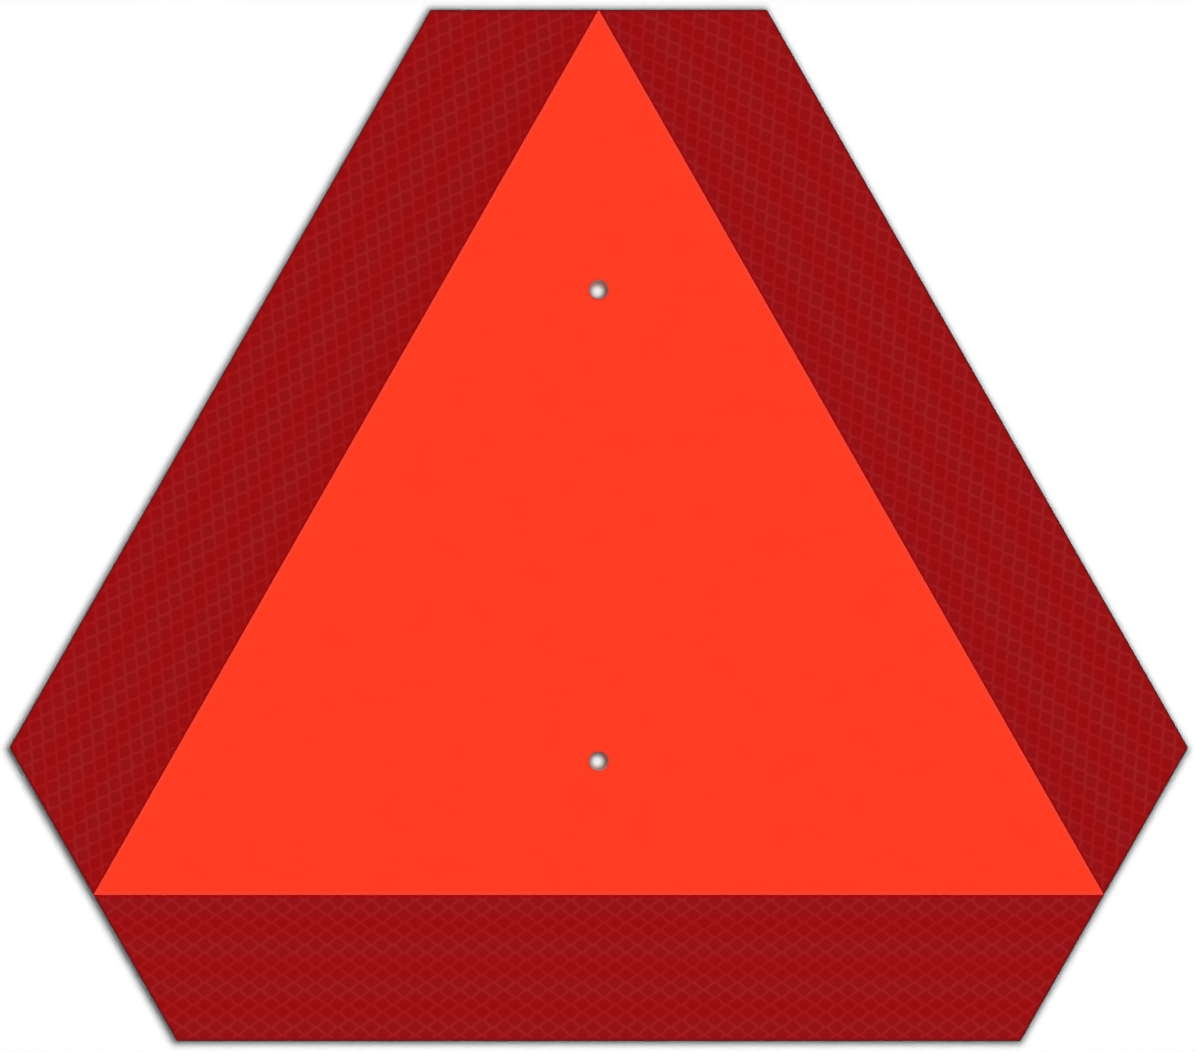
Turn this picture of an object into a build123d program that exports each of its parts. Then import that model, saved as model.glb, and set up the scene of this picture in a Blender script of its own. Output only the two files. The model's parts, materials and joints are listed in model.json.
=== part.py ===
from build123d import *
import os
from math import asin, atan2, cos, hypot, sin, tan

# Slow moving vehicle sign: an aluminium blank with a fluorescent triangle framed by three
# strips of reflective tape, punched for two bolts. Millimetres. X runs to the right as seen
# from the front, Z up, and the front faces -Y. The origin is midway between the bolt holes,
# on the back of the blank, where the sign meets what it is bolted to.

# Outline of the blank
SIGN_WIDTH = 406.4
SIGN_HEIGHT = 355.6
CORNER_RADIUS = 0.8

# Sheet, film and tape
PLATE_THICKNESS = 1.6
FILM_THICKNESS = 0.15
TAPE_THICKNESS = 0.4
TAPE_WIDTH = 50.4
BACK_EDGE_BREAK = 0.25

# Bolt holes, one above the other on the centre line, as far above mid-height as below it
HOLE_SPACING = 162.56
HOLE_DIAMETER = 6.35

# Levels up the sign and through its thickness
TOP = SIGN_HEIGHT / 2
FOOT = -SIGN_HEIGHT / 2
TRIANGLE_BASE = FOOT + TAPE_WIDTH
TRIANGLE_HEIGHT = SIGN_HEIGHT - TAPE_WIDTH
PLATE_FRONT = PLATE_THICKNESS

# The triangle's sides and the tape's outer edges lean at the one angle at which the blank
# comes out at its full width: tape edge parallel to the triangle's side, a tape width away
SLOPE = atan2(2 * TRIANGLE_HEIGHT, SIGN_WIDTH) + asin(
    TAPE_WIDTH / hypot(2 * TRIANGLE_HEIGHT, SIGN_WIDTH)
)

# Half widths of the triangle's base and of the blank at its top, its widest and its foot
TRIANGLE_HALF = TRIANGLE_HEIGHT / tan(SLOPE)
TOP_HALF = TAPE_WIDTH / sin(SLOPE)
WIDEST_HALF = SIGN_WIDTH / 2
FOOT_HALF = TRIANGLE_HALF - TAPE_WIDTH / tan(SLOPE)
WIDEST_LEVEL = TRIANGLE_BASE + TAPE_WIDTH / (2 * cos(SLOPE))

# Corners met more than once, all on the right; the left ones are their mirror image
APEX = (0, TOP)
TRIANGLE_CORNER = (TRIANGLE_HALF, TRIANGLE_BASE)
TOP_CORNER = (TOP_HALF, TOP)
SIDE_CORNER = (WIDEST_HALF, WIDEST_LEVEL)
FOOT_CORNER = (FOOT_HALF, FOOT)


def mirrored(corner):
    """The same corner on the left half of the sign."""
    return (-corner[0], corner[1])


def front_face(corners):
    """A flat face with these corners, as seen from the front."""
    return Plane.XZ * make_face(Polyline(*corners, close=True))


def layer(face, level, thickness):
    """A sheet of this thickness whose back is at this level in front of the blank's back."""
    return extrude(Location((0, -level, 0)) * face, amount=thickness, dir=(0, -1, 0))


def blank_outline():
    """A triangle with its three corners cut off, the six new ones rounded by the tooling."""
    right = [TOP_CORNER, SIDE_CORNER, FOOT_CORNER]
    left = [mirrored(corner) for corner in reversed(right)]
    outline = front_face(right + left)
    return fillet(outline.vertices(), CORNER_RADIUS)


def bolt_holes(level, thickness):
    """The round punched holes through a sheet at this level."""
    holes = [
        Plane.XZ * Pos(0, side * HOLE_SPACING / 2) * Circle(HOLE_DIAMETER / 2)
        for side in (1, -1)
    ]
    return [layer(hole, level, thickness) for hole in holes]


def backing_plate():
    """The blank: square edges in front, a light edge break round the back, punched holes."""
    plate = layer(blank_outline(), 0, PLATE_THICKNESS)
    rim = plate.faces().sort_by(Axis.Y)[-1].outer_wire().edges()
    plate = chamfer(rim, BACK_EDGE_BREAK)
    for hole in bolt_holes(0, PLATE_THICKNESS):
        plate = plate - hole
    return plate


def fluorescent_triangle():
    """The thin film that fills the middle, its three corners ending at the blank's edge."""
    corners = [APEX, TRIANGLE_CORNER, mirrored(TRIANGLE_CORNER)]
    film = layer(front_face(corners) & blank_outline(), PLATE_FRONT, FILM_THICKNESS)
    for hole in bolt_holes(PLATE_FRONT, FILM_THICKNESS):
        film = film - hole
    return film


def reflective_strip(corners):
    """One length of tape between the triangle and the edge, trimmed with the blank."""
    return layer(front_face(corners) & blank_outline(), PLATE_FRONT, TAPE_THICKNESS)


RIGHT_STRIP = [APEX, TOP_CORNER, SIDE_CORNER, TRIANGLE_CORNER]
LEFT_STRIP = [mirrored(corner) for corner in RIGHT_STRIP]
BOTTOM_STRIP = [
    mirrored(TRIANGLE_CORNER), TRIANGLE_CORNER, FOOT_CORNER, mirrored(FOOT_CORNER),
]

PIECES = {
    "backing_plate": backing_plate(),
    "fluorescent_triangle": fluorescent_triangle(),
    "reflective_strip_left": reflective_strip(LEFT_STRIP),
    "reflective_strip_right": reflective_strip(RIGHT_STRIP),
    "reflective_strip_bottom": reflective_strip(BOTTOM_STRIP),
}

os.makedirs("parts", exist_ok=True)
for name, piece in PIECES.items():
    export_step(piece, f"parts/{name}.step")
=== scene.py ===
import json
from math import atan2, cos, hypot, pi, radians, sin, tan

import bmesh
import bpy
from mathutils import Matrix, Vector
from mathutils.geometry import delaunay_2d_cdt


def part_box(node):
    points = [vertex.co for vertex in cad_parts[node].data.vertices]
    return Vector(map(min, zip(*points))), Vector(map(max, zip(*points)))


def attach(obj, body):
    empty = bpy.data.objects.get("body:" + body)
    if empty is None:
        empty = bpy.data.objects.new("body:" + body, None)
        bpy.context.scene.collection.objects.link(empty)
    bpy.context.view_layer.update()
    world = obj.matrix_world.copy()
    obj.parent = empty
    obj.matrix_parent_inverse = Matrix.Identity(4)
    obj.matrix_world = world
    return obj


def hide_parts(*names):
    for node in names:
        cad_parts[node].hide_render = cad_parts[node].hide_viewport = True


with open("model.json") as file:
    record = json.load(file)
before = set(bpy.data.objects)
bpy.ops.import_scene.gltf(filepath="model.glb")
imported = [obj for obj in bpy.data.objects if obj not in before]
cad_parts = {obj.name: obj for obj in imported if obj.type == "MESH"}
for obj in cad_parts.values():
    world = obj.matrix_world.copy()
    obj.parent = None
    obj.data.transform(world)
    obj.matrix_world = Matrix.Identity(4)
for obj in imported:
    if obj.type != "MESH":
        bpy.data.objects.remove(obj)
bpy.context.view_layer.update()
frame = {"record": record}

# The looks of a slow moving vehicle sign: a punched aluminium blank, a fluorescent film
# triangle and three strips of prismatic reflective tape. Metres throughout.

MM = 0.001

# Levels and widths of the sign, read from the frame
FILM_LOW, FILM_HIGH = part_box("fluorescent_triangle")
PLATE_LOW, PLATE_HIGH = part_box("backing_plate")
TAPE_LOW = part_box("reflective_strip_bottom")[0]
HOLES = next(m for m in frame["record"]["mounts"] if m["name"] == "mounting_holes")

TOP = FILM_HIGH.z
FOOT = PLATE_LOW.z
TRIANGLE_BASE = FILM_LOW.z
TRIANGLE_HALF = FILM_HIGH.x
TAPE_WIDTH = TRIANGLE_BASE - FOOT
SLOPE = atan2(TOP - TRIANGLE_BASE, TRIANGLE_HALF)
HOLE_RADIUS = HOLES["dims"]["hole_r_mm"] * MM
HOLE_LEVELS = [side * HOLES["dims"]["spacing_y_mm"] / 2 * MM for side in (1, -1)]

# Front and back of each layer
BACK = PLATE_HIGH.y
PLATE_FRONT = PLATE_LOW.y
FILM_FRONT = FILM_LOW.y
TAPE_FRONT = TAPE_LOW.y

# Corners of the right half, as (x, z); the left ones are their mirror image
APEX = (0, TOP)
TRIANGLE_CORNER = (TRIANGLE_HALF, TRIANGLE_BASE)
TOP_CORNER = (TAPE_WIDTH / sin(SLOPE), TOP)
SIDE_CORNER = (
    TRIANGLE_HALF + TAPE_WIDTH / (2 * sin(SLOPE)),
    TRIANGLE_BASE + TAPE_WIDTH / (2 * cos(SLOPE)),
)
FOOT_CORNER = (TRIANGLE_HALF - TAPE_WIDTH / tan(SLOPE), FOOT)
CORNER_RADIUS = 0.83 * MM

RIGHT_HALF = [TOP_CORNER, SIDE_CORNER, FOOT_CORNER]

# Edges of the blank and the film from front to back: how far in they are, and how deep
BLANK_EDGE = [
    (0.06 * MM, PLATE_FRONT),
    (0.0, PLATE_FRONT + 0.06 * MM),
    (0.0, BACK - 0.25 * MM),
    (0.08 * MM, BACK - 0.08 * MM),
    (0.25 * MM, BACK),
]
FILM_EDGE = [
    (0.04 * MM, FILM_FRONT),
    (0.01 * MM, FILM_FRONT + 0.03 * MM),
    (0.01 * MM, PLATE_FRONT),
]

# The tape's cut edge, rolled over a little by the blanking: how far it is in, and how far
# it has dropped
ROLLED_EDGE = [(0.22 * MM, 0.0), (0.07 * MM, 0.05 * MM), (0.0, 0.16 * MM)]

# The tape's six-sided cells, a short flat along the tape at each side and a point at each
# end, between seal lines; how many more are laid each way than a strip holds, to be trimmed
# off; and the bands of duller cells that run along it
CELL_LENGTH = 7.645 * MM
CELL_WIDTH = 5.152 * MM
CELL_FLAT = 0.86 * MM
SEAL_HALF_WIDTH = 0.30 * MM
SEAL_SHOULDER = 0.75 * MM
SEAL_DEPTH = 0.06 * MM
SPARE_CELLS = 3
TONE_PERIOD = 15.2 * MM
FOOT_TONE_PERIOD = 14.1 * MM

# How near two points count as one: where cells are welded, where a sheet is cut, beside a
# trimmed outline and on a closed back
WELD_GAP = 0.01 * MM
CUT_GAP = 0.0002 * MM
BESIDE_GAP = 0.001 * MM
CAP_GAP = 1e-6 * MM

# The photograph's frame: its size, its scale and where the sign's centre lies in it; and
# the camera's lens and sensor in its own millimetres
PHOTO_PIXELS = (1195, 1052)
PIXELS_PER_MM = 2.9014
SIGN_CENTRE_PIXEL = (598.18, 524.93)
LENS = 135
SENSOR = 36

# A white floor below the sign and a white board behind it, and how far each glows by itself
# where the camera looks at it
FLOOR_DROP = 30 * MM
FLOOR_REACH = 12.0
FLOOR_GLOW = 0.45
BOARD_GAP = 9.0 * MM
BOARD_HALF_WIDTH = 0.32
BOARD_TOP = 0.30
BOARD_GLOW = 0.03
STUDIO_WHITE = (0.97, 0.97, 0.97, 1)

# Behind each bolt hole the board carries painted shade, red as if lit by light thrown back
# from the film, round a painted paler spot a little down and to the left
PAINTED_SPOT_MIDDLES = [(-0.45 * MM, HOLE_LEVELS[0] - 0.3 * MM), (-0.45 * MM, HOLE_LEVELS[1] - 0.5 * MM)]
PAINTED_SPOT_SPAN = (0.5 * MM, 3.3 * MM)
PAINTED_SHADE_SPAN = (5.0 * MM, 6.0 * MM)
PAINTED_SPOT_PALE = (0.82, 0.82, 0.82, 1)
PAINTED_SHADE_RED = (0.34, 0.13, 0.09, 1)

# One large soft lamp in front, a little to the right and up, so near that the sign's shadow
# spreads past its outline all the way round. Its core and its rim each have a share of its
# light and a radius
LAMP_PLACE = (0.042, -0.850, 0.023)
LAMP_PARTS = {"soft_core": (0.47, 0.106), "soft_rim": (0.53, 0.186)}
LAMP_LEVEL = 0.96

# Two soft far lamps behind: where each shines from, and how strongly
BACK_LAMPS = {
    "behind_left": ((-0.55, 0.65, 0.5), 1.1),
    "behind_right": ((0.7, 0.6, 0.35), 0.9),
}
BACK_LAMP_SOFTNESS = radians(40)

# The room: an even light from all round, and what gloss and metal reflect, which is dark
# straight in front of the sign, paler to the sides, and pale behind it, more so higher up
FILL_LEVEL = 0.032
FRONT_SPAN, FRONT_LEVELS = (0.70, 0.95), (0.256, 0.016)
BEHIND_SPAN, BEHIND_LEVELS = (-0.5, 0.7), (0.48, 0.80)
TURN_SPAN = (-0.1, 0.1)


class Wire:
    """One output of a node. Arithmetic on it adds Math nodes to the same tree."""

    def __init__(self, tree, socket):
        self.tree = tree
        self.socket = socket

    def outlet(self, name):
        """Another output of the node that this one comes from."""
        return Wire(self.tree, self.socket.node.outputs[name])

    def maths(self, operation, *values):
        """A Math node on this wire and others."""
        return work_out(self.tree, operation, self, *values)

    def __add__(self, other):
        return self.maths("ADD", other)

    def __radd__(self, other):
        return work_out(self.tree, "ADD", other, self)

    def __sub__(self, other):
        return self.maths("SUBTRACT", other)

    def __rsub__(self, other):
        return work_out(self.tree, "SUBTRACT", other, self)

    def __mul__(self, other):
        return self.maths("MULTIPLY", other)

    def __rmul__(self, other):
        return work_out(self.tree, "MULTIPLY", other, self)

    def __truediv__(self, other):
        return self.maths("DIVIDE", other)

    def __neg__(self):
        return self.maths("MULTIPLY", -1.0)

    def __abs__(self):
        return self.maths("ABSOLUTE")


def plug(tree, value, socket):
    """Links a wire to a socket, or sets the socket to a plain value."""
    if isinstance(value, Wire):
        tree.links.new(value.socket, socket)
    else:
        socket.default_value = value


def work_out(tree, operation, *values):
    """A Math node on wires and numbers."""
    node = tree.nodes.new("ShaderNodeMath")
    node.operation = operation
    for value, socket in zip(values, node.inputs):
        plug(tree, value, socket)
    return Wire(tree, node.outputs[0])


class Bench:
    """A node tree being wired up."""

    def __init__(self, tree):
        self.tree = tree

    def add(self, kind, settings=None, sockets=None):
        """Any node: its settings go in first, then its sockets. Gives its first output."""
        node = self.tree.nodes.new(kind)
        for name, value in (settings or {}).items():
            setattr(node, name, value)
        self.fill(node, sockets or {})
        return Wire(self.tree, next((s for s in node.outputs if s.enabled), None))

    def fill(self, node, sockets):
        """Sets a node's sockets by name, each to a value, a wire or a list of wires."""
        for name, value in sockets.items():
            socket = next(s for s in node.inputs if name in (s.identifier, s.name) and s.enabled)
            for item in value if isinstance(value, list) else [value]:
                plug(self.tree, item, socket)

    def least(self, *values):
        """The smallest of several wires."""
        smallest = values[0]
        for value in values[1:]:
            smallest = smallest.maths("MINIMUM", value)
        return smallest

    def ramp(self, value, span, low=0.0, high=1.0):
        """Goes smoothly from low to high as the value crosses a span, and stays there."""
        start, end = span
        return self.add(
            "ShaderNodeMapRange",
            {"interpolation_type": "SMOOTHSTEP"},
            {"Value": value, "From Min": start, "From Max": end, "To Min": low, "To Max": high},
        )

    def fade(self, value, span, high=1.0):
        """Falls smoothly from high to nothing as the value crosses a span."""
        return self.ramp(value, span, high, 0.0)

    def blend(self, amount, first, second):
        """Mixes two colours."""
        return self.add(
            "ShaderNodeMix", {"data_type": "RGBA"}, {"Factor": amount, "A": first, "B": second}
        )

    def noise(self, place, scale, detail=2.0):
        """Soft noise about one half."""
        return self.add(
            "ShaderNodeTexNoise", None, {"Vector": place, "Scale": scale, "Detail": detail}
        )

    def bump(self, height, strength, depth):
        """A surface that is raised a little by a height."""
        return self.add(
            "ShaderNodeBump", None, {"Strength": strength, "Distance": depth, "Height": height}
        )

    def place(self):
        """The point on the piece, as its own object coordinates."""
        return self.add("ShaderNodeTexCoord").outlet("Object")

    def parts(self, place):
        """A point's three coordinates."""
        split = self.add("ShaderNodeSeparateXYZ", None, {"Vector": place})
        return [split.outlet(axis) for axis in "XYZ"]

    def stretched(self, place, size):
        """The point with each coordinate multiplied by its own number."""
        return self.add(
            "ShaderNodeVectorMath", {"operation": "MULTIPLY"}, {"Vector": place, "Vector_001": size}
        )


def new_material(name):
    """A new material with its bench and its surface shader."""
    material = bpy.data.materials.new(name)
    material.use_nodes = True
    tree = material.node_tree
    shader = next(n for n in tree.nodes if n.type == "BSDF_PRINCIPLED")
    return material, Bench(tree), shader


def empty_bench(owner):
    """The node tree of a material or a world, with nothing in it."""
    owner.use_nodes = True
    owner.node_tree.nodes.clear()
    return Bench(owner.node_tree)


def new_object(name, data):
    """An object of the scene, at the origin."""
    thing = bpy.data.objects.new(name, data)
    bpy.context.scene.collection.objects.link(thing)
    return thing


def mirrored(corner):
    """The same corner on the left half of the sign."""
    return (-corner[0], corner[1])


BLANK_CORNERS = RIGHT_HALF + [mirrored(corner) for corner in reversed(RIGHT_HALF)]
TRIANGLE_CORNERS = [APEX, TRIANGLE_CORNER, mirrored(TRIANGLE_CORNER)]


def offset_corners(corners, inset):
    """A clockwise outline's corners, each side moved inwards by the inset."""
    moved = []
    count = len(corners)
    for i, corner in enumerate(corners):
        before = Vector(corner) - Vector(corners[i - 1])
        after = Vector(corners[(i + 1) % count]) - Vector(corner)
        inward_before = Vector((before.y, -before.x)).normalized()
        inward_after = Vector((after.y, -after.x)).normalized()
        bisector = (inward_before + inward_after) / (1 + inward_before.dot(inward_after))
        moved.append(Vector(corner) + bisector * inset)
    return moved


def rounded(corners, radii, steps=6):
    """A clockwise outline with an arc of its own radius at each corner, 0 for a sharp one."""
    points = []
    count = len(corners)
    for i, radius in enumerate(radii):
        corner = Vector(corners[i])
        if radius <= 0:
            points.append(corner)
            continue
        back = (Vector(corners[i - 1]) - corner).normalized()
        ahead = (Vector(corners[(i + 1) % count]) - corner).normalized()
        half = back.angle(ahead) / 2
        centre = corner + (back + ahead).normalized() * radius / sin(half)
        start = corner + back * radius / tan(half) - centre
        sweep = pi - 2 * half
        for step in range(steps + 1):
            turn = -sweep * step / steps
            points.append(centre + Matrix.Rotation(turn, 2) @ start)
    return points


def blank_outline(inset=0.0):
    """The blank's outline, its corners rounded by the tooling."""
    corners = offset_corners(BLANK_CORNERS, inset)
    return rounded(corners, [CORNER_RADIUS - inset] * len(corners))


def triangle_outline(inset=0.0):
    """The film's outline, its corners sharp."""
    return offset_corners(TRIANGLE_CORNERS, inset)


def hole_outline(level, inset=0.0, points=72):
    """A bolt hole's edge; an inset makes it wider."""
    radius = HOLE_RADIUS + inset
    turns = [2 * pi * i / points for i in range(points)]
    return [Vector((radius * cos(turn), level + radius * sin(turn))) for turn in turns]


def ring_in(mesh, outline, depth):
    """A closed ring of vertices on an outline at one depth, with its edges."""
    corners = [mesh.verts.new((point.x, depth, point.y)) for point in outline]
    for first, second in zip(corners, corners[1:] + corners[:1]):
        mesh.edges.new((first, second))
    return corners


def ring_edges(mesh, ring):
    """The edges of a closed ring of vertices."""
    return [mesh.edges.get((a, b)) for a, b in zip(ring, ring[1:] + ring[:1])]


def punched_sheet(name, outline, profile):
    """A flat sheet with both bolt holes, all its edges shaped to one profile."""
    mesh = bmesh.new()
    ends = {"front": [], "back": []}
    edges = [outline] + [lambda inset, z=level: hole_outline(z, inset) for level in HOLE_LEVELS]
    for edge in edges:
        rings = [ring_in(mesh, edge(inset), depth) for inset, depth in profile]
        for front, back in zip(rings, rings[1:]):
            for i in range(len(front)):
                j = (i + 1) % len(front)
                mesh.faces.new((front[i], front[j], back[j], back[i]))
        ends["front"] += ring_edges(mesh, rings[0])
        ends["back"] += ring_edges(mesh, rings[-1])
    for loops in ends.values():
        bmesh.ops.triangle_fill(mesh, edges=loops, use_beauty=True)
    bmesh.ops.recalc_face_normals(mesh, faces=mesh.faces)
    return finished(name, mesh)


def finished(name, mesh):
    """A mesh as an object of the scene, at the origin."""
    data = bpy.data.meshes.new(name)
    mesh.to_mesh(data)
    mesh.free()
    return new_object(name, data)


def dress(piece, node, material):
    """Finishes a piece that stands for a node of the frame."""
    piece.data.materials.clear()
    piece.data.materials.append(material)
    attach(piece, "root")
    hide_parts(node)


class Strip:
    """One length of tape beside one side of the triangle. Its own axes run along that side,
    clockwise as seen from the front, and out from it towards the sign's edge. From the
    side's middle, cell is where a cell's middle is, along and out, and tone how far out the
    middle of a dull band is."""

    def __init__(self, side, start, end, corners, cell, tone, tone_period):
        self.side = side
        self.corners = corners
        self.cell = cell
        self.tone = tone
        self.tone_period = tone_period
        self.along = (Vector(end) - Vector(start)).normalized()
        self.out = Vector((-self.along.y, self.along.x))
        self.middle = (Vector(start) + Vector(end)) / 2
        self.length = (Vector(end) - Vector(start)).length

    def matrix(self):
        """From the strip's own axes, with its face as their third, to the sign's."""
        return Matrix(
            (
                (self.along.x, self.out.x, 0, self.middle.x),
                (0, 0, -1, TAPE_FRONT),
                (self.along.y, self.out.y, 0, self.middle.y),
                (0, 0, 0, 1),
            )
        )

    def outline(self, inset=0.0):
        """Its trimmed outline: sharp where it meets the triangle, rounded with the blank."""
        corners = offset_corners(self.corners, inset)
        shared = [corner in BLANK_CORNERS for corner in self.corners]
        return rounded(corners, [(CORNER_RADIUS - inset) * on_blank for on_blank in shared])


STRIPS = [
    Strip(
        "left",
        mirrored(TRIANGLE_CORNER),
        APEX,
        [mirrored(TOP_CORNER), APEX, mirrored(TRIANGLE_CORNER), mirrored(SIDE_CORNER)],
        (-1.297 * MM, 2.206 * MM),
        11.9 * MM,
        TONE_PERIOD,
    ),
    Strip(
        "right",
        APEX,
        TRIANGLE_CORNER,
        [APEX, TOP_CORNER, SIDE_CORNER, TRIANGLE_CORNER],
        (2.008 * MM, 0.006 * MM),
        15.3 * MM,
        TONE_PERIOD,
    ),
    Strip(
        "bottom",
        TRIANGLE_CORNER,
        mirrored(TRIANGLE_CORNER),
        [mirrored(TRIANGLE_CORNER), TRIANGLE_CORNER, FOOT_CORNER, mirrored(FOOT_CORNER)],
        (-1.850 * MM, 1.735 * MM),
        3.7 * MM,
        FOOT_TONE_PERIOD,
    ),
]

CELL_SIZES = {
    "Cell Length": CELL_LENGTH,
    "Cell Width": CELL_WIDTH,
    "Cell Flat": CELL_FLAT,
    "Seal Half Width": SEAL_HALF_WIDTH,
    "Seal Shoulder": SEAL_SHOULDER,
    "Seal Depth": SEAL_DEPTH,
}
NET_SIZES = {
    **CELL_SIZES,
    "Sheet Length": 1.0,
    "Sheet Width": TAPE_WIDTH,
    "Shift Along": 0.0,
    "Shift Out": 0.0,
}


def tape_net():
    """The rule of the tape's face, as Geometry Nodes: a sheet of six-sided cells, each a low
    mesa between sunken seal lines, on two staggered grids of points."""
    tree = bpy.data.node_groups.new("tape_net", "GeometryNodeTree")
    for name, value in NET_SIZES.items():
        socket = tree.interface.new_socket(name=name, in_out="INPUT", socket_type="NodeSocketFloat")
        socket.default_value = value
    tree.interface.new_socket(name="Finish", in_out="INPUT", socket_type="NodeSocketMaterial")
    tree.interface.new_socket(name="Mesh", in_out="OUTPUT", socket_type="NodeSocketGeometry")
    bench = Bench(tree)
    sizes = bench.add("NodeGroupInput")

    cell = one_cell(bench, sizes)
    grids = [cell_centres(bench, sizes, stagger) for stagger in (0.0, 0.5)]
    points = bench.add("GeometryNodeJoinGeometry", None, {"Geometry": grids})
    cells = bench.add("GeometryNodeInstanceOnPoints", None, {"Points": points, "Instance": cell})
    sheet = bench.add("GeometryNodeRealizeInstances", None, {"Geometry": cells})
    welded = bench.add(
        "GeometryNodeMergeByDistance", None, {"Geometry": sheet, "Distance": WELD_GAP}
    )
    smooth = bench.add("GeometryNodeSetShadeSmooth", None, {"Geometry": welded})
    painted = bench.add(
        "GeometryNodeSetMaterial", None, {"Geometry": smooth, "Material": sizes.outlet("Finish")}
    )
    bench.add("NodeGroupOutput", None, {"Mesh": painted})
    return tree


def one_cell(bench, sizes):
    """A cell made from a six-sided tower of two storeys: its foot goes to the middle of the
    seal, its first floor to the seal's edge and its roof to the shoulder."""
    length, width, flat, seal, shoulder, depth = (sizes.outlet(name) for name in CELL_SIZES)
    tower = bench.add(
        "GeometryNodeMeshCone",
        None,
        {"Vertices": 6, "Side Segments": 2, "Radius Top": 1.0, "Radius Bottom": 1.0, "Depth": 2.0},
    )
    shell = bench.add(
        "GeometryNodeDeleteGeometry",
        {"domain": "FACE"},
        {"Geometry": tower, "Selection": tower.outlet("Bottom")},
    )
    x, y, storey = bench.parts(bench.add("GeometryNodeInputPosition"))
    upper = (storey - 1).maths("MAXIMUM", 0.0)
    inset = storey.maths("MINIMUM", 1.0) * seal + upper * (shoulder - seal)
    rise, run = width / 2, length / 2 - flat
    slant = (rise * rise + run * run).maths("SQRT")
    at_flat = abs(y).maths("GREATER_THAN", 0.5)
    point_x = (length - flat) / 2 - inset * slant / rise
    flat_x = flat / 2 - inset * (slant - run) / rise
    place = bench.add(
        "ShaderNodeCombineXYZ",
        None,
        {
            "X": x.maths("SIGN") * (at_flat * flat_x + (1 - at_flat) * point_x),
            "Y": y.maths("SIGN") * at_flat * (rise - inset),
            "Z": (upper - 1) * depth,
        },
    )
    return bench.add("GeometryNodeSetPosition", None, {"Geometry": shell, "Position": place})


def cell_centres(bench, sizes, stagger):
    """Points a cell apart over the sheet, moved along and out by a share of a cell."""
    length, width = sizes.outlet("Cell Length"), sizes.outlet("Cell Width")
    columns = (sizes.outlet("Sheet Length") / length).maths("CEIL") + SPARE_CELLS
    rows = (sizes.outlet("Sheet Width") / width).maths("CEIL") + SPARE_CELLS
    grid = bench.add(
        "GeometryNodeMeshGrid",
        None,
        {
            "Size X": (columns - 1) * length,
            "Size Y": (rows - 1) * width,
            "Vertices X": columns,
            "Vertices Y": rows,
        },
    )
    odd_columns, odd_rows = columns.maths("MODULO", 2.0), rows.maths("MODULO", 2.0)
    shift = bench.add(
        "ShaderNodeCombineXYZ",
        None,
        {
            "X": sizes.outlet("Shift Along") + (stagger + (1 - odd_columns) / 2) * length,
            "Y": sizes.outlet("Shift Out") + (stagger + (1 - odd_rows) / 2) * width,
        },
    )
    return bench.add("GeometryNodeTransform", None, {"Geometry": grid, "Translation": shift})


def net_sheet(strip, tree, material):
    """The net for one strip as a plain mesh, laid over the strip and larger than it."""
    holder = new_object("net", bpy.data.meshes.new("net"))
    modifier = holder.modifiers.new("net", "NODES")
    modifier.node_group = tree
    rows_to_middle = round(TAPE_WIDTH / 2 / CELL_WIDTH)
    values = {
        "Sheet Length": strip.length,
        "Shift Along": strip.cell[0],
        "Shift Out": strip.cell[1] + rows_to_middle * CELL_WIDTH,
        "Finish": material,
    }
    for item in tree.interface.items_tree:
        if item.in_out == "INPUT" and item.name in values:
            modifier[item.identifier] = values[item.name]
    shape = bpy.data.meshes.new_from_object(
        holder.evaluated_get(bpy.context.evaluated_depsgraph_get())
    )
    holder.modifiers.remove(modifier)
    bpy.data.objects.remove(holder)
    shape.transform(strip.matrix())
    return shape


def trim(mesh, outline):
    """Cuts a sheet along a clockwise convex outline and drops what lies outside."""
    for first, second in zip(outline, outline[1:] + outline[:1]):
        run = (second - first).normalized()
        bmesh.ops.bisect_plane(
            mesh,
            geom=[*mesh.verts, *mesh.edges, *mesh.faces],
            dist=CUT_GAP,
            plane_co=(first.x, 0, first.y),
            plane_no=(-run.y, 0, run.x),
            clear_outer=True,
        )


def outward_moves(ring, outline):
    """For each vertex on the outline, the move that takes it one unit outside both its sides."""
    moves = {}
    for vertex in ring:
        point = Vector((vertex.co.x, vertex.co.z))
        normals = []
        for first, second in zip(outline, outline[1:] + outline[:1]):
            run = (second - first).normalized()
            normal = Vector((-run.y, run.x))
            off, along = (point - first).dot(normal), (point - first).dot(run)
            beside = -BESIDE_GAP < along < (second - first).length + BESIDE_GAP
            if beside and abs(off) < BESIDE_GAP:
                normals.append(normal)
        one, two = normals[0], normals[-1]
        moves[vertex] = (one + two) / (1 + one.dot(two))
    return moves


def tape_strip(strip, tree, material):
    """A length of tape: the net on its face, trimmed, with a rolled edge and a flat back."""
    mesh = bmesh.new()
    mesh.from_mesh(net_sheet(strip, tree, material))
    outline = strip.outline(ROLLED_EDGE[0][0])
    trim(mesh, outline)
    border = [edge for edge in mesh.edges if edge.is_boundary]
    moves = outward_moves({v for edge in border for v in edge.verts}, outline)
    for (inset, drop), (next_inset, next_drop) in zip(ROLLED_EDGE, ROLLED_EDGE[1:]):
        border, moves = skirt(mesh, border, moves, inset - next_inset, next_drop - drop)
    border, moves = skirt(mesh, border, moves, 0.0, None)
    close_back(mesh, border)
    bmesh.ops.recalc_face_normals(mesh, faces=mesh.faces)
    return finished("tape_" + strip.side, mesh)


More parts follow.
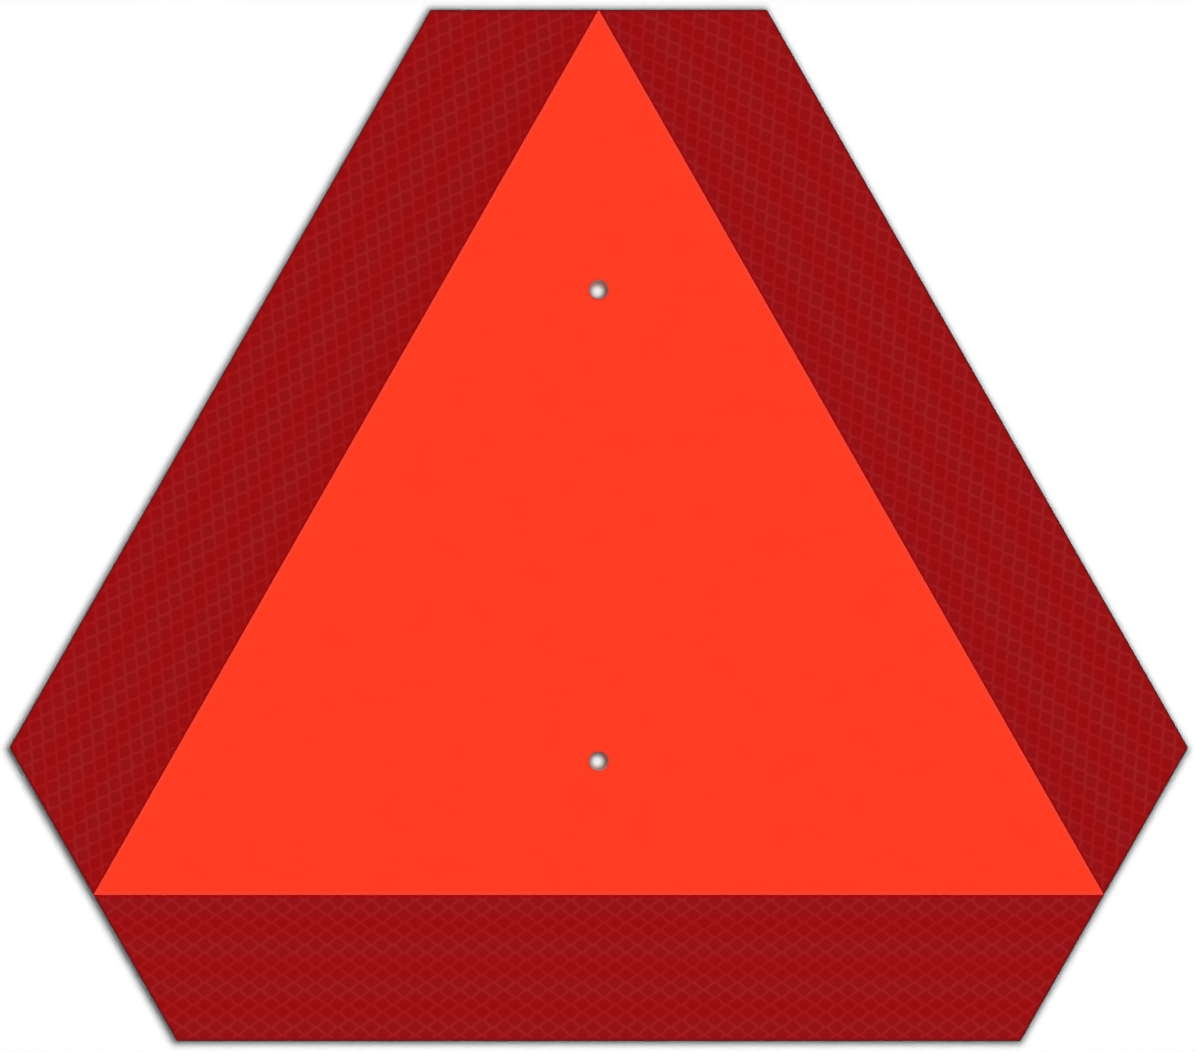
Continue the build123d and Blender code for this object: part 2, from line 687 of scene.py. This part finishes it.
def skirt(mesh, border, moves, reach, drop):
    """One more band round the border, further out and further back, or back to the plate."""
    made = bmesh.ops.extrude_edge_only(mesh, edges=border)["geom"]
    edges = [item for item in made if isinstance(item, bmesh.types.BMEdge)]
    rim = {v for edge in edges for v in edge.verts} - set(moves)
    new_moves = {}
    for vertex in rim:
        neighbours = [edge.other_vert(vertex) for edge in vertex.link_edges]
        move = next(moves[inner] for inner in neighbours if inner in moves)
        new_moves[vertex] = move
        depth = PLATE_FRONT if drop is None else vertex.co.y + drop
        vertex.co = (vertex.co.x + move.x * reach, depth, vertex.co.z + move.y * reach)
    outer = [edge for edge in edges if all(v in new_moves for v in edge.verts)]
    return outer, new_moves


def close_back(mesh, border):
    """Closes a flat back with even triangles between the points of its border."""
    ring = list({vertex for edge in border for vertex in edge.verts})
    ring.sort(key=lambda vertex: (vertex.co.x, vertex.co.z))
    number = {vertex: i for i, vertex in enumerate(ring)}
    spots = [Vector((vertex.co.x, vertex.co.z)) for vertex in ring]
    sides = [tuple(number[vertex] for vertex in edge.verts) for edge in border]
    inside = 1
    faces, sources = delaunay_2d_cdt(spots, sides, [], inside, CAP_GAP)[2:4]
    for face in faces:
        mesh.faces.new([ring[sources[corner][0]] for corner in face])


def edge_distances(bench, place):
    """How far a point is inside the sign's outline, and how far outside the triangle."""
    across, _, z = bench.parts(place)
    x = abs(across)
    from_side = (TOP_CORNER[0] - x) * sin(SLOPE) + (TOP - z) * cos(SLOPE)
    from_cut = (TRIANGLE_HALF - x) * sin(SLOPE) - (TRIANGLE_BASE - z) * cos(SLOPE)
    inside = bench.least(TOP - z, z - FOOT, from_side, from_cut)
    beyond_side = x * sin(SLOPE) - (TOP - z) * cos(SLOPE)
    beyond = beyond_side.maths("MAXIMUM", TRIANGLE_BASE - z)
    return inside, beyond


def hole_distance(bench, place):
    """How far a point is from the edge of the nearer bolt hole."""
    x, _, level = bench.parts(place)
    z = abs(level) - HOLE_LEVELS[0]
    return (x * x + z * z).maths("SQRT") - HOLE_RADIUS


# The film's colours, with a painted highlight along its cut edge, where the lifted edge catches
# the light, and painted shade round its holes, where the punched rim dips; and how far in
# those two reach
FILM_RED = (1.0, 0.0465, 0.0165, 1)
FILM_DEEP = (0.99, 0.0440, 0.0150, 1)
FILM_EDGE_HIGHLIGHT = (0.88, 0.0600, 0.0400, 1)
FILM_HOLE_SHADE = (0.68, 0.0580, 0.0400, 1)
FILM_GLOW = (1.0, 0.040, 0.010, 1)
EDGE_HIGHLIGHT_SPAN = (0.1 * MM, 1.6 * MM)
HOLE_SHADE_SPAN = (0.0, 1.3 * MM)

# Its mottle and its peel, a fine unevenness, as spots to the metre
MOTTLE_SCALE, MOTTLE_SPAN, MOTTLE_SHARE = 90.0, (0.40, 0.75), 0.25
PEEL_SCALE, PEEL_STRENGTH, PEEL_DEPTH = 1400.0, 0.06, 0.02 * MM


def fluorescent_film():
    """Smooth fluorescent vinyl: even, faintly mottled, with a painted highlight along its cut
    edge and painted shade round the punched holes."""
    material, bench, shader = new_material("fluorescent_film")
    place = bench.place()
    mottle = bench.ramp(bench.noise(place, MOTTLE_SCALE), MOTTLE_SPAN)
    # Painted highlight along the film's cut edge, and painted shade round its holes
    edge = bench.fade(-edge_distances(bench, place)[1], EDGE_HIGHLIGHT_SPAN)
    hole_shade = bench.fade(hole_distance(bench, place), HOLE_SHADE_SPAN)
    body = bench.blend(mottle * MOTTLE_SHARE, FILM_RED, FILM_DEEP)
    with_edge_highlight = bench.blend(edge, body, FILM_EDGE_HIGHLIGHT)
    sockets = {
        "Base Color": bench.blend(hole_shade, with_edge_highlight, FILM_HOLE_SHADE),
        "Normal": bench.bump(bench.noise(place, PEEL_SCALE), PEEL_STRENGTH, PEEL_DEPTH),
        "Roughness": 0.5,
        "Specular IOR Level": 0.0,
        "Coat Weight": 0.8,
        "Coat Roughness": 0.22,
        "Emission Color": FILM_GLOW,
        "Emission Strength": 0.05,
    }
    bench.fill(shader, sockets)
    return material


# The tape's colours where its bands are bright and dull, in its cells and along its seals;
# painted shade along the sign's edge, where the rolled tape turns from the light; and its colour
# beside the triangle
CELL_BRIGHT = (0.345, 0.0039, 0.0051, 1)
CELL_DULL = (0.320, 0.0059, 0.0078, 1)
SEAL_BRIGHT = (0.387, 0.0075, 0.0091, 1)
SEAL_DULL = (0.370, 0.0116, 0.0143, 1)
TAPE_EDGE_SHADE = (0.146, 0.0083, 0.0108, 1)
TAPE_JOIN = (0.370, 0.0020, 0.0004, 1)

# Where those colours fade, how strong the last two are, and how round a cell's corners show
TONE_SPAN = (0.05, 0.45)
SEAL_SPAN = (0.15 * MM, 0.72 * MM)
TAPE_SHADE_SPAN, TAPE_SHADE_STRENGTH = (0.2 * MM, 1.4 * MM), 0.85
JOIN_SPAN, JOIN_STRENGTH = (0.2 * MM, 1.3 * MM), 0.95
CELL_ROUNDING = 0.8 * MM


def seal_distance(bench, along, out):
    """How far a point of the tape's face is from the nearest seal line's middle."""
    rise, run = CELL_WIDTH / 2, CELL_LENGTH / 2 - CELL_FLAT
    slant = hypot(rise, run)
    x = (along / CELL_LENGTH).maths("PINGPONG", 0.5) * CELL_LENGTH
    y = (out / CELL_WIDTH).maths("PINGPONG", 0.5) * CELL_WIDTH
    inside = []
    for a, b in ((x, y), (CELL_LENGTH / 2 - x, rise - y)):
        ends = [
            ((CELL_LENGTH - CELL_FLAT) / 2 - a) * (rise / slant) + b * (side * run / slant)
            for side in (-1, 1)
        ]
        point = ends[0].maths("SMOOTH_MIN", ends[1], CELL_ROUNDING)
        inside.append(point.maths("SMOOTH_MIN", rise - b, CELL_ROUNDING))
    return inside[0].maths("MAXIMUM", inside[1])


def reflective_tape(strip):
    """Deep red prismatic tape: cells in bands of two tones, lighter seal lines, gloss face, and
    painted shade along the sign's edge.
    """
    material, bench, shader = new_material("reflective_tape_" + strip.side)
    place = bench.place()
    across, _, level = bench.parts(place)
    x, z = across - strip.middle.x, level - strip.middle.y
    along = x * strip.along.x + z * strip.along.y
    out = x * strip.out.x + z * strip.out.y
    nearest = seal_distance(bench, along - strip.cell[0], out - strip.cell[1])
    seal = bench.fade(nearest, SEAL_SPAN)

    stripe = ((out - strip.tone) / strip.tone_period).maths("PINGPONG", 0.5)
    bright = bench.ramp(stripe, TONE_SPAN)
    cell = bench.blend(bright, CELL_DULL, CELL_BRIGHT)
    line = bench.blend(bright, SEAL_DULL, SEAL_BRIGHT)
    net = bench.blend(seal, cell, line)

    inside, beyond = edge_distances(bench, place)
    # Painted shade along the sign's edge, where the rolled tape turns from the light
    edge = bench.fade(inside, TAPE_SHADE_SPAN, TAPE_SHADE_STRENGTH)
    join = bench.fade(beyond, JOIN_SPAN, JOIN_STRENGTH)
    joined = bench.blend(join, net, TAPE_JOIN)
    sockets = {
        "Base Color": bench.blend(edge, joined, TAPE_EDGE_SHADE),
        "Roughness": 0.45,
        "Specular IOR Level": 0.0,
        "Coat Weight": 1 - join,
        "Coat Roughness": 0.08,
    }
    bench.fill(shader, sockets)
    return material


ALUMINIUM = (0.80, 0.81, 0.82, 1)
ALUMINIUM_DARK = (0.68, 0.69, 0.70, 1)
SHEARED = (0.56, 0.57, 0.58, 1)

# The grain of the rolled sheet, fine and broad, and the clouds over it: spots to the metre
# along, through and up, and each one's share
GRAIN_SCALE, GRAIN_SHARE = (12.0, 400.0, 2600.0), 0.5
BROAD_SCALE, BROAD_SHARE = (3.0, 60.0, 130.0), 0.3
CLOUD_SCALE, CLOUD_SHARE = 14.0, 0.2
GRAIN_STRENGTH, GRAIN_DEPTH = 0.35, 0.02 * MM

# Where the grain changes its colour and its roughness, and how far from the back a cut
# edge begins
STREAK_SPAN = (0.36, 0.64)
ROUGH_SPAN, ROUGH_LEVELS = (0.3, 0.7), (0.42, 0.30)
CUT_SPAN, CUT_ROUGHNESS = (0.05 * MM, 0.30 * MM), 0.2


def mill_aluminium():
    """Bare sheet as it leaves the mill: fine rolled grain across its back, faint handling
    marks, and dull grey walls where it was sheared and punched."""
    material, bench, shader = new_material("mill_aluminium")
    place = bench.place()
    grain = bench.noise(bench.stretched(place, GRAIN_SCALE), 1.0, detail=4.0)
    broad = bench.noise(bench.stretched(place, BROAD_SCALE), 1.0, detail=3.0)
    cloud = bench.noise(place, CLOUD_SCALE, detail=3.0)
    streak = grain * GRAIN_SHARE + broad * BROAD_SHARE + cloud * CLOUD_SHARE
    face = bench.blend(bench.ramp(streak, STREAK_SPAN), ALUMINIUM_DARK, ALUMINIUM)
    _, depth, _ = bench.parts(place)
    wall = bench.ramp(BACK - depth, CUT_SPAN)
    sockets = {
        "Base Color": bench.blend(wall, face, SHEARED),
        "Metallic": 1.0,
        "Roughness": bench.ramp(streak, ROUGH_SPAN, *ROUGH_LEVELS) + wall * CUT_ROUGHNESS,
        "Normal": bench.bump(grain, GRAIN_STRENGTH, GRAIN_DEPTH),
    }
    bench.fill(shader, sockets)
    return material


def build_sign():
    """The three kinds of piece, each in the place of its node."""
    plate = punched_sheet("aluminium_blank", blank_outline, BLANK_EDGE)
    dress(plate, "backing_plate", mill_aluminium())

    film = punched_sheet("fluorescent_triangle_film", triangle_outline, FILM_EDGE)
    dress(film, "fluorescent_triangle", fluorescent_film())

    tree = tape_net()
    for strip in STRIPS:
        finish = reflective_tape(strip)
        tape = tape_strip(strip, tree, finish)
        dress(tape, "reflective_strip_" + strip.side, finish)


def stage_sheet(name, corners, material):
    """A floor or a backdrop of the studio, which lights nothing and shades nothing."""
    data = bpy.data.meshes.new(name)
    data.from_pydata(corners, [], [(0, 1, 2, 3)])
    data.materials.append(material)
    sheet = new_object(name, data)
    sheet.visible_shadow = False
    sheet.visible_diffuse = False
    sheet.visible_glossy = False


def board_white_and_painted_shade(bench):
    """White, but for painted shade, reddish, round a painted paler spot behind each bolt hole."""
    across, _, level = bench.parts(bench.place())
    distances = []
    for middle, middle_level in PAINTED_SPOT_MIDDLES:
        x, z = across - middle, level - middle_level
        distances.append((x * x + z * z).maths("SQRT"))
    away = bench.least(*distances)
    # Painted shade with a red cast behind each hole, paler in a painted spot
    painted_shade = bench.blend(bench.ramp(away, PAINTED_SPOT_SPAN), PAINTED_SPOT_PALE, PAINTED_SHADE_RED)
    return bench.blend(bench.ramp(away, PAINTED_SHADE_SPAN), painted_shade, STUDIO_WHITE)


def studio_white(name, glow, is_board=False):
    """White that keeps shadows, and shows as paper white where none falls. The board is
    clear from behind."""
    material = bpy.data.materials.new(name)
    bench = empty_bench(material)
    colour = board_white_and_painted_shade(bench) if is_board else STUDIO_WHITE
    paint = bench.add("ShaderNodeBsdfDiffuse", None, {"Color": colour})
    seen = bench.add("ShaderNodeLightPath")
    lit = bench.add("ShaderNodeEmission", None, {"Strength": seen * glow})
    surface = bench.add("ShaderNodeAddShader", None, {"Shader": paint, "Shader_001": lit})
    if is_board:
        behind = bench.add("ShaderNodeNewGeometry").outlet("Backfacing")
        clear = bench.add("ShaderNodeBsdfTransparent")
        surface = bench.add(
            "ShaderNodeMixShader", None, {"Fac": behind, "Shader": surface, "Shader_001": clear}
        )
    bench.add("ShaderNodeOutputMaterial", None, {"Surface": surface})
    return material


def build_stage():
    """A pale floor below the sign, and a white board behind it for its shadow."""
    floor_level = FOOT - FLOOR_DROP
    signs = [(-1, -1), (1, -1), (1, 1), (-1, 1)]
    stage_sheet(
        "floor",
        [(x * FLOOR_REACH, y * FLOOR_REACH, floor_level) for x, y in signs],
        studio_white("floor_white", FLOOR_GLOW),
    )
    stage_sheet(
        "board",
        [
            (x * BOARD_HALF_WIDTH, BACK + BOARD_GAP, BOARD_TOP if z > 0 else floor_level)
            for x, z in signs
        ],
        studio_white("board_white", BOARD_GLOW, is_board=True),
    )


def far_lamp(name, direction, strength):
    """A soft far lamp that shines from a direction, with no light bounced on."""
    light = bpy.data.lights.new(name, "SUN")
    light.energy = strength
    light.angle = BACK_LAMP_SOFTNESS
    light.cycles.max_bounces = 0
    new_object(name, light).rotation_euler = Vector(direction).to_track_quat("Z", "Y").to_euler()


def near_lamp(name, spot, strength, radius):
    """A soft round lamp that lights a flat sheet evenly and leaves no glare. White that
    faces it shows at its strength."""
    light = bpy.data.lights.new(name, "POINT")
    light.energy = 4 * pi * pi * strength
    light.shadow_soft_size = radius
    light.use_nodes = True
    light.cycles.use_multiple_importance_sampling = False
    bench = Bench(light.node_tree)
    even = bench.add("ShaderNodeLightFalloff", None, {"Strength": 1.0}).outlet("Constant")
    reach = bench.add("ShaderNodeLightPath").outlet("Ray Length")
    shine = next(n for n in light.node_tree.nodes if n.type == "EMISSION")
    bench.fill(shine, {"Strength": even * reach / abs(spot[1])})
    lamp = new_object(name, light)
    lamp.location = spot
    lamp.visible_camera = False
    lamp.visible_glossy = False


def build_lamps():
    """The soft lamp in front, in two parts that fade towards its rim, and two behind."""
    for name, (share, radius) in LAMP_PARTS.items():
        near_lamp(name, LAMP_PLACE, LAMP_LEVEL * share, radius)
    for name, (direction, strength) in BACK_LAMPS.items():
        far_lamp(name, direction, strength)


def build_world():
    """White to the camera, an even low fill, and a room that gloss and metal reflect."""
    world = bpy.data.worlds.new("studio")
    bpy.context.scene.world = world
    bench = empty_bench(world)
    path = bench.add("ShaderNodeLightPath")
    _, y, z = bench.parts(bench.add("ShaderNodeTexCoord").outlet("Generated"))
    ahead = -y
    front = bench.ramp(ahead, FRONT_SPAN, *FRONT_LEVELS)
    behind = bench.ramp(z, BEHIND_SPAN, *BEHIND_LEVELS)
    facing_back = bench.fade(ahead, TURN_SPAN)
    reflected = behind * facing_back + front * (1 - facing_back)
    first_look = 1 - path.outlet("Diffuse Depth").maths("MINIMUM", 1.0)
    glossy = path.outlet("Is Glossy Ray") * first_look
    direct = path.outlet("Is Camera Ray").maths("MAXIMUM", path.outlet("Is Transmission Ray"))
    strength = direct + glossy * reflected + (1 - direct - glossy) * FILL_LEVEL
    light = bench.add(
        "ShaderNodeBackground", None, {"Color": (1, 1, 1, 1), "Strength": strength}
    )
    bench.add("ShaderNodeOutputWorld", None, {"Surface": light})


def build_camera():
    """Square on to the sign, with the photograph's scale at its face."""
    data = bpy.data.cameras.new("camera")
    data.lens = LENS
    data.sensor_width = SENSOR
    data.clip_end = 50
    camera = new_object("camera", data)
    distance = PHOTO_PIXELS[0] / PIXELS_PER_MM * MM * LENS / SENSOR
    middle = [(size - 1) / 2 for size in PHOTO_PIXELS]
    camera.location = (
        (middle[0] - SIGN_CENTRE_PIXEL[0]) / PIXELS_PER_MM * MM,
        TAPE_FRONT - distance,
        (SIGN_CENTRE_PIXEL[1] - middle[1]) / PIXELS_PER_MM * MM,
    )
    camera.rotation_euler = (radians(90), 0, 0)
    bpy.context.scene.camera = camera


build_sign()
build_stage()
build_lamps()
build_world()
build_camera()
bpy.context.scene.view_settings.view_transform = "Standard"
